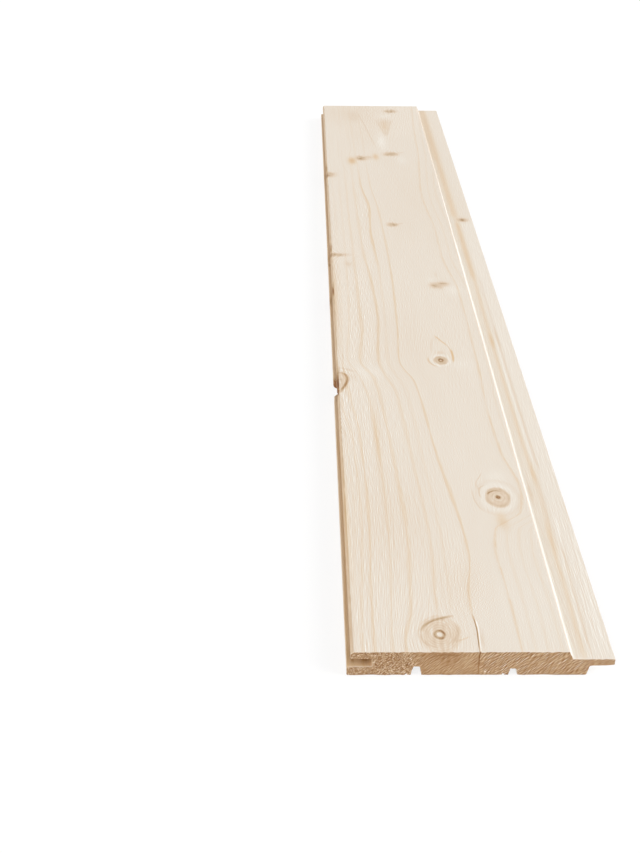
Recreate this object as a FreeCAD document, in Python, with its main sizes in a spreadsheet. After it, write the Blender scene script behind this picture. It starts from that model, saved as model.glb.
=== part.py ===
import FreeCAD, Part
import os
import Sketcher

# Tongue and groove board with a shadow gap joint, for walls and ceilings.
# It is one stick of solid softwood, planed all round and moulded lengthwise:
# a groove between two lips on the left edge, a tongue on the right edge, and
# two relief grooves in the back that keep the board flat.
# The board lies on its back. +Y runs along it, +X points to the tongue, +Z is
# the face side, and the origin is at the bottom centre of its box.

# Driving dimensions, in millimetres, and angles in degrees
SIZES = [
    # Planed stick
    ("board_length", 800.0),
    ("overall_width", 120.0),
    ("board_thickness", 14.0),
    # Tongue, and the fit that it and the groove share
    ("tongue_length", 10.9),
    ("tongue_root_thickness", 4.2),
    ("tongue_tip_thickness", 3.7),
    ("joint_clearance", 0.3),
    ("joint_end_gap", 0.4),
    # Lips beside the groove
    ("lower_lip_thickness", 5.1),
    ("upper_lip_setback", 1.6),
    ("upper_lip_chamfer", 1.3),
    # Shadow gap, seen on the face when boards are laid
    ("gap_floor_width", 18.9),
    ("gap_edge_angle", 27.0),
    # Shoulder under the tongue
    ("shoulder_angle", 11.0),
    # Relief grooves in the back, measured from the groove edge
    ("deep_relief_place", 31.3),
    ("deep_relief_mouth", 4.6),
    ("deep_relief_floor", 2.8),
    ("deep_relief_depth", 5.1),
    ("shallow_relief_place", 74.8),
    ("shallow_relief_mouth", 3.8),
    ("shallow_relief_floor", 2.4),
    ("shallow_relief_depth", 3.9),
    # Worn and cutter-rounded edges
    ("face_arris_radius", 0.5),
    ("back_arris_radius", 0.6),
    ("lip_arris_radius", 0.4),
    ("tongue_nose_radius", 0.4),
    ("tongue_root_radius", 0.8),
    ("inner_corner_radius", 0.4),
    ("relief_floor_radius", 0.5),
    ("relief_mouth_radius", 0.3),
]

# Places across the section, worked out from the sizes
GROOVE_EDGE = "-sizes.overall_width / 2"
TONGUE_EDGE = "sizes.overall_width / 2"
FACE = "sizes.board_thickness"
BACK = "0"

# The groove takes the tongue of the next board with its clearance
GROOVE_FLOOR = "sizes.lower_lip_thickness"
GROOVE_TOP = f"{GROOVE_FLOOR} + sizes.tongue_root_thickness + 2 * sizes.joint_clearance"
GROOVE_END = f"{GROOVE_EDGE} + sizes.tongue_length + sizes.joint_end_gap"
UPPER_LIP_END = f"{GROOVE_EDGE} + sizes.upper_lip_setback"
UPPER_LIP_SHOULDER = f"{FACE} - sizes.upper_lip_chamfer"
FACE_LEFT = f"{UPPER_LIP_END} + sizes.upper_lip_chamfer"

# The tongue stands one clearance above the level of the next board's lower lip
TONGUE_UNDER_ROOT = f"{GROOVE_FLOOR} + sizes.joint_clearance"
TONGUE_TOP = f"{TONGUE_UNDER_ROOT} + sizes.tongue_root_thickness"
TONGUE_UNDER_TIP = f"{TONGUE_TOP} - sizes.tongue_tip_thickness"
TONGUE_ROOT = f"{TONGUE_EDGE} - sizes.tongue_length"
SHOULDER_FOOT = f"{TONGUE_ROOT} - ({TONGUE_UNDER_ROOT}) * tan(sizes.shoulder_angle)"
GAP_FLOOR_END = f"{TONGUE_EDGE} - sizes.gap_floor_width"
FACE_RIGHT = f"{GAP_FLOOR_END} - ({FACE} - ({TONGUE_TOP})) * tan(sizes.gap_edge_angle)"

EDGE_TOLERANCE = 0.01
VOLUME_TOLERANCE = 0.001


def add_sheet(doc):
    """The spreadsheet of driving dimensions, one alias for each."""
    sheet = doc.addObject("Spreadsheet::Sheet", "sizes")
    for row, (alias, value) in enumerate(SIZES, start=1):
        sheet.set(f"A{row}", alias)
        sheet.set(f"B{row}", str(value))
        sheet.setAlias(f"B{row}", alias)
    doc.recompute()
    return sheet


def evaluate(sheet, formula):
    """The number that a formula gives with the sheet's present sizes."""
    result = sheet.evalExpression(formula)
    return float(getattr(result, "Value", result))


def section_sketch(body, name, corners):
    """A closed outline in the board's cross section, each corner tied to the sheet."""
    sheet = body.Document.getObject("sizes")
    plane = [part for part in body.Origin.OriginFeatures if part.Role == "XZ_Plane"][0]
    sketch = body.newObject("Sketcher::SketchObject", name)
    sketch.AttachmentSupport = (plane, [""])
    sketch.MapMode = "FlatFace"
    points = [
        FreeCAD.Vector(evaluate(sheet, across), evaluate(sheet, up), 0) for across, up in corners
    ]
    count = len(points)
    for number, point in enumerate(points):
        sketch.addGeometry(Part.LineSegment(point, points[(number + 1) % count]), False)
    for number in range(count):
        sketch.addConstraint(
            Sketcher.Constraint("Coincident", number, 2, (number + 1) % count, 1)
        )
    for number, (across, up) in enumerate(corners):
        point = points[number]
        place = sketch.addConstraint(
            Sketcher.Constraint("DistanceX", -1, 1, number, 1, point.x)
        )
        sketch.setExpression(f"Constraints[{place}]", across)
        height = sketch.addConstraint(
            Sketcher.Constraint("DistanceY", -1, 1, number, 1, point.y)
        )
        sketch.setExpression(f"Constraints[{height}]", up)
    return sketch


def add_blank(body):
    """The planed stick that the mouldings are cut from."""
    sketch = section_sketch(
        body,
        "blank_section",
        [(GROOVE_EDGE, BACK), (TONGUE_EDGE, BACK), (TONGUE_EDGE, FACE), (GROOVE_EDGE, FACE)],
    )
    pad = body.newObject("PartDesign::Pad", "blank")
    pad.Profile = sketch
    pad.SideType = "Symmetric"
    pad.setExpression("Length", "sizes.board_length")
    body.Document.recompute()


def mould(body, name, corners):
    """One cutter's pass along the whole board."""
    sketch = section_sketch(body, f"{name}_section", corners)
    doc = body.Document
    before = body.Shape.Volume
    cut = body.newObject("PartDesign::Pocket", name)
    cut.Profile = sketch
    cut.SideType = "Symmetric"
    cut.setExpression("Length", "sizes.board_length")
    doc.recompute()
    section = Part.Face(Part.Wire(sketch.Shape.Edges)).Area
    expected = section * evaluate(doc.getObject("sizes"), "sizes.board_length")
    removed = before - body.Shape.Volume
    if abs(removed - expected) > VOLUME_TOLERANCE * expected:
        raise RuntimeError(f"{name} removed {removed:.1f} of {expected:.1f} cubic mm")


def round_edges(body, name, radius, corners):
    """Round the lengthwise edges that pass through the given corners of the section."""
    sheet = body.Document.getObject("sizes")
    base = body.Tip
    found = []
    for across, up in corners:
        x = evaluate(sheet, across)
        z = evaluate(sheet, up)
        matches = [
            f"Edge{number}"
            for number, edge in enumerate(base.Shape.Edges, start=1)
            if all(
                abs(vertex.X - x) < EDGE_TOLERANCE and abs(vertex.Z - z) < EDGE_TOLERANCE
                for vertex in edge.Vertexes
            )
        ]
        if len(matches) != 1:
            raise RuntimeError(f"{name} found {len(matches)} edges at {x:.2f}, {z:.2f}")
        found += matches
    fillet = body.newObject("PartDesign::Fillet", name)
    fillet.Base = (base, found)
    fillet.setExpression("Radius", radius)
    body.Document.recompute()


def cut_groove_side(body):
    """Two lips with the groove between them, the upper one set back and chamfered."""
    mould(
        body,
        "upper_lip_end",
        [
            (GROOVE_EDGE, GROOVE_TOP),
            (UPPER_LIP_END, GROOVE_TOP),
            (UPPER_LIP_END, UPPER_LIP_SHOULDER),
            (FACE_LEFT, FACE),
            (GROOVE_EDGE, FACE),
        ],
    )
    mould(
        body,
        "groove",
        [
            (GROOVE_EDGE, GROOVE_FLOOR),
            (GROOVE_END, GROOVE_FLOOR),
            (GROOVE_END, GROOVE_TOP),
            (GROOVE_EDGE, GROOVE_TOP),
        ],
    )


def cut_tongue_side(body):
    """The shadow gap over the tongue, and the leaning shoulder and taper under it."""
    mould(
        body,
        "shadow_gap",
        [
            (TONGUE_EDGE, TONGUE_TOP),
            (TONGUE_EDGE, FACE),
            (FACE_RIGHT, FACE),
            (GAP_FLOOR_END, TONGUE_TOP),
        ],
    )
    mould(
        body,
        "tongue_underside",
        [
            (TONGUE_EDGE, BACK),
            (TONGUE_EDGE, TONGUE_UNDER_TIP),
            (TONGUE_ROOT, TONGUE_UNDER_ROOT),
            (SHOULDER_FOOT, BACK),
        ],
    )


def relief_corners(which):
    """The tapered section of one relief groove: its two mouth and two floor corners."""
    middle = f"{GROOVE_EDGE} + sizes.{which}_relief_place"
    mouth = f"sizes.{which}_relief_mouth / 2"
    floor = f"sizes.{which}_relief_floor / 2"
    depth = f"sizes.{which}_relief_depth"
    mouth_corners = [(f"{middle} - {mouth}", BACK), (f"{middle} + {mouth}", BACK)]
    floor_corners = [(f"{middle} + {floor}", depth), (f"{middle} - {floor}", depth)]
    return mouth_corners, floor_corners


def cut_relief_grooves(body):
    """The two narrow grooves in the back, as if sawn."""
    for which in ("deep", "shallow"):
        mouth_corners, floor_corners = relief_corners(which)
        mould(body, f"{which}_relief", mouth_corners + floor_corners)


def round_section(body):
    """Every lengthwise edge gets the small radius that planing and handling leave."""
    relief_mouths = []
    relief_floors = []
    for which in ("deep", "shallow"):
        mouth_corners, floor_corners = relief_corners(which)
        relief_mouths += mouth_corners
        relief_floors += floor_corners
    round_edges(
        body, "face_arrises", "sizes.face_arris_radius", [(FACE_LEFT, FACE), (FACE_RIGHT, FACE)]
    )
    round_edges(
        body,
        "back_arrises",
        "sizes.back_arris_radius",
        [(GROOVE_EDGE, BACK), (SHOULDER_FOOT, BACK)],
    )
    round_edges(
        body,
        "lip_arrises",
        "sizes.lip_arris_radius",
        [
            (GROOVE_EDGE, GROOVE_FLOOR),
            (UPPER_LIP_END, GROOVE_TOP),
            (UPPER_LIP_END, UPPER_LIP_SHOULDER),
        ],
    )
    round_edges(
        body,
        "tongue_nose",
        "sizes.tongue_nose_radius",
        [(TONGUE_EDGE, TONGUE_TOP), (TONGUE_EDGE, TONGUE_UNDER_TIP)],
    )
    round_edges(
        body, "tongue_root", "sizes.tongue_root_radius", [(TONGUE_ROOT, TONGUE_UNDER_ROOT)]
    )
    round_edges(
        body,
        "inner_corners",
        "sizes.inner_corner_radius",
        [(GROOVE_END, GROOVE_FLOOR), (GROOVE_END, GROOVE_TOP), (GAP_FLOOR_END, TONGUE_TOP)],
    )
    round_edges(body, "relief_floors", "sizes.relief_floor_radius", relief_floors)
    round_edges(body, "relief_mouths", "sizes.relief_mouth_radius", relief_mouths)


def make_board(doc):
    """The whole board as one body."""
    body = doc.addObject("PartDesign::Body", "Board")
    body.Label = "board"
    body.Placement = FreeCAD.Placement()
    add_blank(body)
    cut_groove_side(body)
    cut_tongue_side(body)
    cut_relief_grooves(body)
    round_section(body)
    return body


def check(doc, pieces):
    """Stop before anything is written if a feature failed or a piece isn't sound."""
    for item in doc.Objects:
        if "Invalid" in item.State or "Error" in item.State:
            raise RuntimeError(f"{item.Name} is {item.State}")
        if item.isDerivedFrom("Sketcher::SketchObject") and item.solve() != 0:
            raise RuntimeError(f"{item.Name} can't be solved")
    for piece in pieces:
        if piece.Shape.isNull() or not piece.Shape.isValid() or len(piece.Shape.Solids) != 1:
            raise RuntimeError(f"{piece.Label} isn't one sound solid")


def main():
    doc = FreeCAD.newDocument("tongue_and_groove_board")
    add_sheet(doc)
    pieces = [make_board(doc)]
    doc.recompute()
    check(doc, pieces)
    os.makedirs("parts", exist_ok=True)
    for piece in pieces:
        piece.Shape.exportStep(f"parts/{piece.Label}.step")
        print(piece.Label, piece.Shape.BoundBox, round(piece.Shape.Volume), "cubic mm")


main()
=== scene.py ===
# Looks of one tongue and groove board: planed spruce, sawn off square, with knots, a split and chipped lips.
# Lengths are millimetres in the board's own frame unless a name says otherwise: X across the board towards
# the tongue, Y along it away from the camera, Z up out of the face. Blender's own lengths are metres.

import math
from functools import reduce

import bpy
import numpy as np
from mathutils import Matrix, Vector, noise
from mathutils.geometry import delaunay_2d_cdt


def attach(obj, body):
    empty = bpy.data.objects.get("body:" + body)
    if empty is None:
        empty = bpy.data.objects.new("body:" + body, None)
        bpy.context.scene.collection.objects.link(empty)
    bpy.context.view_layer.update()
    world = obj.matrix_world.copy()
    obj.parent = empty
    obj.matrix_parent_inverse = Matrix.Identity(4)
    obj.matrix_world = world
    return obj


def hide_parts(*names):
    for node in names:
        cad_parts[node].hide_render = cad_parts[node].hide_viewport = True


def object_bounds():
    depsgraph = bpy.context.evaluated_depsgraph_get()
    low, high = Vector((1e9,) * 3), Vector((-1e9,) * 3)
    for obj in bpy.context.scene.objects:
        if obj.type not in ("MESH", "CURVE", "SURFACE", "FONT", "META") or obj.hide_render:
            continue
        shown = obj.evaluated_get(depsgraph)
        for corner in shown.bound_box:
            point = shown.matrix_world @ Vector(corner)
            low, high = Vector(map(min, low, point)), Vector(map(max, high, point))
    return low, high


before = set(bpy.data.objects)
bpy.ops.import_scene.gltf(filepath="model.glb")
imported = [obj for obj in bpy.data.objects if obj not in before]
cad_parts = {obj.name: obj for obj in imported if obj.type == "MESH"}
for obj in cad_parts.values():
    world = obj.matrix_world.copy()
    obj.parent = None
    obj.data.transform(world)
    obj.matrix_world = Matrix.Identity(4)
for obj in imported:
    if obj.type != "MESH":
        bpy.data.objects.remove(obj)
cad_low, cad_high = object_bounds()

MM = 0.001
NODE = "board"
SEED = 7
SHARP_DEG = 35.0

# Camera, fitted to the sawn end and the long edges of the photographed board
PHOTO_WIDTH_PX = 640
PHOTO_HEIGHT_PX = 853
FOCAL_LENGTH_PX = 1128.7
SENSOR_MM = 36.0
CAMERA_PLACE = (-80.9, -765.3, 367.7)
CAMERA_PITCH_DEG = 32.75
CAMERA_YAW_DEG = -1.183
CAMERA_ROLL_DEG = -0.777

# Light: the share of a level surface's light from the sky and from each lamp, and where a lamp stands
SKY_LEVEL = 0.55
LAMPS = (
    # name, level, elevation, azimuth from +X towards the camera, spread
    ("key", 0.30, 32.0, 8.0, 35.0),
    ("fill", 0.17, 26.0, 145.0, 60.0),
)
FLOOR_RADIUS = 6000.0
FLOOR_GAP = 0.2
FLOOR_SIDES = 64
FLOOR_ALBEDO = 0.88
FLOOR_SEEN_ALBEDO = 0.24
FLOOR_GLOW = 0.79

# The log's heart, under the board
HEART_X = 30.0
HEART_DEPTH = 106.0

# The split from the near end, beside the large knot
SPLIT_PATH = ((-1.7, -374.3), (-1.1, -379.2), (-0.7, -385.2), (-0.9, -391.1), (-1.3, -400.0))
SPLIT_WIDTH = 0.28
SPLIT_DEPTH = 0.3

# The splinters lost from the groove's lips at the knot in the left edge: from y, to y, how deep, from z, to z
LIP_CHIPS = (
    (-167.0, -147.0, 3.4, -1.0, 7.0),
    (-179.5, -171.0, 2.6, 7.0, 13.99),
)
CHIP_RAGGEDNESS = 0.5
CHIP_STEEPNESS = 6.0
CHIP_LEAN = 0.04

# Growth lines on the face, from the left edge to the right: how strong beyond HALFWAY_Y, between the two and
# nearer than BEND_Y, how wide, places
BEND_Y = -144.0
BEND_REACH = 8
HALFWAY_Y = 15.0
HALFWAY_REACH = 12
FADING_LINES = 7
FAR_FADE = (150.0, 230.0, 0.85)
LINE_ENDS = {4: -371.0, 5: -371.0, 6: -374.0}
LINE_END_REACH = 8
GROWTH_LINES = (
    (0.1, 0.12, 0.55, 1.6, ((-58.5, 400), (-57, -103), (-58, -152), (-56, -192), (-51, -232),
        (-49.5, -301), (-51.5, -351), (-53, -395))),
    (0.12, 0.2, 0.7, 1.1, ((-54, 400), (-52.5, -63), (-54, -143), (-51, -182), (-47, -222), (-45.5, -301),
        (-47.5, -370), (-47.5, -395))),
    (0.2, 0.35, 0.45, 1, ((-48.5, 400), (-47, -3), (-48, -83), (-51, -133), (-43, -162), (-39, -192),
        (-36, -301), (-37, -346), (-39.5, -395))),
    (0.35, 0.65, 0.6, 1.5, ((-42.5, 400), (-41, -3), (-40, -93), (-43, -137), (-35, -162), (-30, -232),
        (-27, -311), (-29.5, -372), (-33.5, -395))),
    (0.45, 0.8, 0.45, 1.7, ((-36.5, 400), (-35, 132), (-33, 27), (-29.5, -23), (-28, -73), (-31, -137),
        (-22, -182), (-18.5, -252), (-15.5, -321), (-17.5, -372))),
    (1.05, 0.25, 0.2, 1.5, ((-31.5, 400), (-29, 177), (-24, 117), (-25.5, 72), (-23, -3), (-23, -63),
        (-25, -137), (-15.5, -177), (-12.5, -252), (-10, -321), (-10.5, -372))),
    (0.6, 0.9, 0.9, 1.2, ((-23.5, 400), (-21, 177), (-17, 117), (-14.5, -3), (-16, -93), (-18, -137),
        (-10, -167), (-5, -242), (2.5, -331), (-1.5, -367))),
    (0.65, 0.85, 0.85, 1.3, ((33.5, 400), (30, 317), (28.5, 257), (22.5, 147), (26.5, 67), (26.5, 27),
        (32.5, -43), (32, -147), (30.5, -192), (32, -241), (37.5, -276), (34, -297), (26, -305),
        (19, -311), (16.5, -331), (18, -380))),
)
EDGE_LINE_STRENGTHS = (0.20, 0.25)
EDGE_GAP = 3.5
TONGUE_GAP = 6.0
FLOW_Y = -250.0
FLOW_SIDE = 70.0

# Materials


def srgb(red, green, blue):
    """A colour written as it shows on a screen, 0 to 255, as Blender's linear colour."""
    values = [c / 255 for c in (red, green, blue)]
    return tuple(c / 12.92 if c <= 0.04045 else ((c + 0.055) / 1.055) ** 2.4 for c in values) + (1.0,)


TONES = (
    (0.00, srgb(255, 253, 248)),
    (0.04, srgb(248, 241, 230)),
    (0.10, srgb(235, 226, 213)),
    (0.14, srgb(233, 221, 206)),
    (0.20, srgb(228, 210, 188)),
    (0.30, srgb(221, 199, 175)),
    (0.40, srgb(213, 190, 161)),
    (0.50, srgb(203, 178, 148)),
    (0.60, srgb(188, 156, 121)),
    (0.80, srgb(156, 116, 78)),
    (1.00, srgb(132, 92, 58)),
)
HONEY = (1.0, 0.84, 0.58, 1.0)
FACE_TONE = 0.122
END_TONE = 0.635
END_HONEY = 0.30
FACE_BUMP = 0.05
END_BUMP = 0.07

# The stain and yellow of a strong growth line, the stain of its late wood, and the stain of a weak line
LINE_STAIN = 0.05
LINE_HONEY = 0.34
LATE_STAIN = 0.018
WEAK_STAIN = 0.028

# Textures: how many features a millimetre across and along the grain, or across and along the saw's marks on
# the end, and how strong
FIBRES = (2.6, 0.11, 0.085)
CLOUDS = (0.12, 0.018, 0.012)
SPECKS = (2.0, 1.2, 0.075)
PORES = (4.0, 0.25)
THREADS = (0.62, 0.006)
SAW_MARKS = (2.3, 0.40, 0.85)
SAW_SLANT_DEG = 48.0
END_FIBRES = (3.4, 0.55)
DARK_SPOTS = (2.2, 1.1, 0.50)
LIGHT_SPOTS = (2.4, -0.45)
CHUNKS = (0.8, 0.09)
END_CLOUDS = (0.22, 0.12)
END_SPECK = (2.2, -400.0, 2.0)

# Stretches of X on the near end: where the torn part ends, and where the smoother middle starts and ends
TORN_END = (-34.0, -24.0)
SMOOTH_START = (-31.0, -25.0)
SMOOTH_END = (-1.5, 2.0)
SMOOTH_SHARE = 0.52


def add_camera():
    """The photograph's view, as the scene's camera."""
    camera = bpy.data.objects.new("camera", bpy.data.cameras.new("camera"))
    camera.data.sensor_width = SENSOR_MM
    camera.data.lens = FOCAL_LENGTH_PX / max(PHOTO_WIDTH_PX, PHOTO_HEIGHT_PX) * SENSOR_MM
    camera.data.clip_start = 0.01
    camera.data.clip_end = 50.0
    yaw = Matrix.Rotation(math.radians(CAMERA_YAW_DEG), 3, "Z")
    pitch = Matrix.Rotation(math.radians(-CAMERA_PITCH_DEG), 3, "X")
    roll = Matrix.Rotation(math.radians(CAMERA_ROLL_DEG), 3, "Y")
    axes = yaw @ pitch @ roll
    right, forward, up = axes.col
    facing = Matrix((right, up, -forward)).transposed().to_4x4()
    camera.matrix_world = Matrix.Translation(Vector(CAMERA_PLACE) * MM) @ facing
    bpy.context.scene.collection.objects.link(camera)
    bpy.context.scene.camera = camera


class Shader:
    """Short ways to add nodes to a material's or the world's tree. All but add return the node's output."""

    def __init__(self, owner, output="OutputMaterial"):
        owner.use_nodes = True
        self.tree = owner.node_tree
        self.tree.nodes.clear()
        self.output = self.add(output)

    def plug(self, socket, value):
        """Links an output to the socket, or sets a plain value on it."""
        if isinstance(value, bpy.types.NodeSocket):
            self.tree.links.new(value, socket)
        else:
            socket.default_value = value

    def add(self, kind, *values, **settings):
        """A new node with these settings, and with the values on its first sockets."""
        node = self.tree.nodes.new("ShaderNode" + kind)
        for name, value in settings.items():
            setattr(node, name, value)
        for socket, value in zip(node.inputs, values):
            self.plug(socket, value)
        return node

    def math(self, operation, *values, clamp=False):
        return self.add("Math", *values, operation=operation, use_clamp=clamp).outputs[0]

    def vector(self, operation, *values):
        node = self.add("VectorMath", *values, operation=operation)
        return node.outputs["Value" if operation in ("LENGTH", "DOT_PRODUCT") else "Vector"]

    def scaled(self, vector, factor):
        return self.vector("SCALE", vector, (0, 0, 0), (0, 0, 0), factor)

    def combine(self, *values):
        return self.add("CombineXYZ", *values).outputs[0]

    def parts(self, vector):
        return self.add("SeparateXYZ", vector).outputs

    def attribute(self, name, output="Fac"):
        return self.add("Attribute", attribute_name=name).outputs[output]

    def noise(self, vector, detail=2.0, roughness=0.5, output="Fac"):
        node = self.add("TexNoise", vector)
        node.inputs["Scale"].default_value = 1.0
        node.inputs["Detail"].default_value = detail
        node.inputs["Roughness"].default_value = roughness
        return node.outputs[output]

    def span(self, value, from_low, from_high, to_low=0.0, to_high=1.0, smooth=True):
        """The value carried from one range to another, and held at its ends."""
        numbers = (value, from_low, from_high, to_low, to_high)
        kind = "SMOOTHSTEP" if smooth else "LINEAR"
        return self.add("MapRange", *numbers, interpolation_type=kind).outputs[0]

    def ramp(self, value, stops):
        """A colour or grey for each value from 0 to 1, given as (place, colour) stops."""
        node = self.add("ValToRGB", value)
        elements = node.color_ramp.elements
        elements.remove(elements[1])
        elements[0].position = stops[0][0]
        for place, _ in stops[1:]:
            elements.new(place)
        for element, (_, colour) in zip(elements, stops):
            element.color = colour if hasattr(colour, "__len__") else (colour, colour, colour, 1.0)
        return node.outputs[0]

    def total(self, *values):
        return reduce(lambda total, value: self.math("ADD", total, value), values)

    def times(self, *values):
        return reduce(lambda product, value: self.math("MULTIPLY", product, value), values)

    def stretched(self, x, y, across, along, z=0.0):
        """A place to read noise at, with so many features a unit of x and of y."""
        return self.combine(self.times(x, across), self.times(y, along), z)

    def fine_noise(self, place, amount):
        """Noise of about -amount to +amount without broad swells: each place less its neighbour across."""
        beside = self.noise(self.vector("ADD", place, (1.0, 0.0, 0.0)), 0.0)
        return self.times(self.math("SUBTRACT", self.noise(place, 0.0), beside), amount * 2**0.5)

    def about_middle(self, value, amount):
        """A noise from 0 to 1 as one from -amount to +amount."""
        return self.math("MULTIPLY_ADD", value, 2 * amount, -amount)


def place_mm(shader):
    """The point on the board in millimetres."""
    point = shader.add("TexCoord").outputs["Object"]
    return shader.scaled(point, 1 / MM)


def grown_place(shader, point):
    """Where the ray from the log's heart through a point, the way that knots grow, meets the face's level."""
    x, y, z = shader.parts(point)
    face_radius = cad_high.z / MM + HEART_DEPTH
    scale = shader.math("DIVIDE", face_radius, shader.math("ADD", z, HEART_DEPTH))
    across = shader.math("MULTIPLY_ADD", shader.math("SUBTRACT", x, HEART_X), scale, HEART_X)
    return shader.combine(across, y)


# Knots: place, radii of the brown core, turn in degrees, and the stain at radii from 0 to KNOT_REACH cores
KNOT_REACH = 2.5
EYE = ((0.00, -0.03), (0.18, 0.00), (0.26, 0.40), (0.38, 0.54), (0.46, 0.30), (0.53, 0.08), (0.61, 0.06),
       (0.67, 0.18), (0.72, 0.07), (0.82, 0.08), (0.87, 0.19), (0.93, 0.08), (1.03, 0.07), (1.08, 0.18),
       (1.14, 0.07), (1.24, 0.06), (1.29, 0.16), (1.35, 0.05), (1.44, 0.05), (1.50, 0.15), (1.57, 0.05),
       (1.66, 0.06), (1.74, 0.05), (1.84, 0.00), (2.10, 0.00))
BLOT = ((0.00, 0.42), (0.06, 0.66), (0.16, 0.60), (0.26, 0.16), (0.40, 0.07), (0.50, 0.20), (0.58, 0.09),
        (0.74, 0.15), (0.90, 0.27), (1.00, 0.12), (1.12, -0.02), (1.35, -0.03), (1.80, 0.03), (2.00, 0.00))
SMALL_EYE = ((0.00, 0.14), (0.12, 0.26), (0.24, 0.66), (0.40, 0.54), (0.52, 0.26), (0.78, 0.24), (0.94, 0.20),
             (1.06, 0.08), (1.18, -0.02), (1.50, -0.03), (1.80, 0.00))
SMEAR = ((0.00, 0.32), (0.45, 0.28), (0.80, 0.18), (1.05, 0.05), (1.60, 0.00))
STREAK = ((0.00, 0.36), (0.40, 0.36), (0.75, 0.26), (1.05, 0.07), (1.60, 0.00))
RIND = ((0.00, 0.18), (0.30, 0.14), (0.70, 0.11), (0.95, 0.10), (1.10, 0.03), (1.40, 0.00))
KNOTS = (
    (-17.9, -388.6, 5.6, 6.9, 0, EYE),
    (23.7, -284.5, 6.4, 8.6, 0, BLOT),
    (8.8, -137.3, 4, 5.2, 0, SMALL_EYE),
    (-7.4, 84.6, 4.2, 4, 8, SMEAR),
    (-25.6, 241, 4.4, 6.2, 8, STREAK),
    (2.6, 252.4, 7, 5.4, 6, SMEAR),
    (10.4, 382.3, 6.4, 5.2, 8, SMEAR),
    (-58.5, 197.6, 7.5, 6, 0, STREAK),
    (-59, 25.7, 12, 3.4, 0, STREAK),
    (-59, -163.4, 6.6, 11.5, 0, RIND),
)


def wander(shader, place, scale, amount):
    """A place on the face shaken softly: features are 1 / scale across and move by up to the amount."""
    colour = shader.noise(shader.scaled(place, scale), 1.0, 0.5, "Color")
    shift = shader.vector("SUBTRACT", colour, (0.5, 0.5, 0.5))
    return shader.vector("ADD", place, shader.vector("MULTIPLY", shift, (2 * amount, 2 * amount, 0)))


def knot_stain(shader, point):
    """The sum of the knots' stains, darker and paler by turns round each ring."""
    grown = grown_place(shader, point)
    grown = wander(shader, wander(shader, grown, 0.10, 1.0), 0.7, 0.2)
    stains = []
    for x, y, across, along, turn, rings in KNOTS:
        turned = (0, 0, math.radians(turn))
        size = (across * KNOT_REACH, along * KNOT_REACH, 1)
        local = shader.add("Mapping", grown, (x, y, 0), turned, size, vector_type="TEXTURE")
        radius = shader.vector("LENGTH", local.outputs[0])
        stops = [(place / KNOT_REACH, 0.5 + stain / 2) for place, stain in rings]
        grey = shader.ramp(radius, stops)
        stains.append(shader.math("MULTIPLY_ADD", grey, 2.0, -1.0))
    uneven = shader.span(shader.noise(shader.scaled(grown, 0.22), 2.0), 0.3, 0.7, 0.7, 1.25)
    return shader.times(shader.total(*stains), uneven)


def growth_stain(shader):
    """The stain and the yellow of the growth lines: strong ones drawn one by one, and weak ones between."""
    ring = shader.attribute("ring")
    gap = shader.attribute("ring_gap")
    strength = shader.attribute("ring_strength")
    flow = shader.attribute("flow")
    point = place_mm(shader)
    _, y, _ = shader.parts(point)
    offset = shader.math("SUBTRACT", ring, shader.math("ROUND", ring))
    ragged = shader.about_middle(shader.noise(shader.vector("MULTIPLY", point, (1.6, 0.5, 1.0)), 1.0), 0.35)
    distance = shader.math("ABSOLUTE", shader.math("MULTIPLY_ADD", offset, gap, ragged))
    uneven = shader.span(shader.noise(shader.stretched(ring, y, 1.7, 0.03), 3.0), 0.3, 0.7, 0.5, 1.6)
    width = shader.times(uneven, shader.attribute("ring_width"))
    strong = shader.times(shader.span(distance, 0.1, width, 1.0, 0.0), strength)
    signed = shader.times(offset, gap)
    before, after = shader.span(signed, -3.5, -0.3), shader.span(signed, 0.0, 0.5, 1.0, 0.0)
    late = shader.times(before, after, strength, LATE_STAIN)
    thread = shader.span(shader.noise(shader.stretched(flow, y, *THREADS), 2.0, 0.6), 0.52, 0.70)
    weak = shader.times(thread, shader.span(flow, -15.0, 12.0, 1.0, 0.1), WEAK_STAIN)
    return shader.total(shader.times(strong, LINE_STAIN), late, weak), shader.times(strong, LINE_HONEY)


def fibre_stain(shader, point):
    """Fine fibre streaks along the grain, specks, and the soft clouds of a planed face."""
    flow = shader.attribute("flow")
    _, y, z = shader.parts(point)
    *streaked, streak = FIBRES
    *clouded, cloud = CLOUDS
    across, along, speck = SPECKS
    streaks = shader.fine_noise(shader.stretched(flow, y, *streaked, z), streak)
    specks = shader.fine_noise(shader.vector("MULTIPLY", point, (across, along, across)), speck)
    clouds = shader.about_middle(shader.noise(shader.stretched(flow, y, *clouded, z), 2.0, 0.5), cloud)
    streaks = shader.times(streaks, shader.attribute("busy"))
    return shader.total(streaks, shader.times(specks, shader.attribute("specks")), clouds)


def wood_colour(shader, stain, honey):
    """The colour for a stain, from 0 pale to 1 dark, made yellower by up to HONEY."""
    mix = shader.add("Mix", data_type="RGBA", blend_type="MULTIPLY")
    shader.plug(mix.inputs[0], honey)
    shader.plug(mix.inputs[6], shader.ramp(stain, TONES))
    mix.inputs[7].default_value = HONEY
    return mix.outputs[2]


def finish_wood(shader, colour, height, roughness, depth):
    """A wood surface from its colour, its height in millimetres and its roughness."""
    surface = shader.add("BsdfPrincipled")
    shader.plug(surface.inputs["Base Color"], colour)
    shader.plug(surface.inputs["Roughness"], roughness)
    surface.inputs["Specular IOR Level"].default_value = 0.25
    bump = shader.add("Bump")
    bump.inputs["Strength"].default_value = 1.0
    bump.inputs["Distance"].default_value = depth * MM
    shader.plug(bump.inputs["Height"], height)
    shader.plug(surface.inputs["Normal"], bump.outputs[0])
    shader.plug(shader.output.inputs["Surface"], surface.outputs[0])


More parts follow.
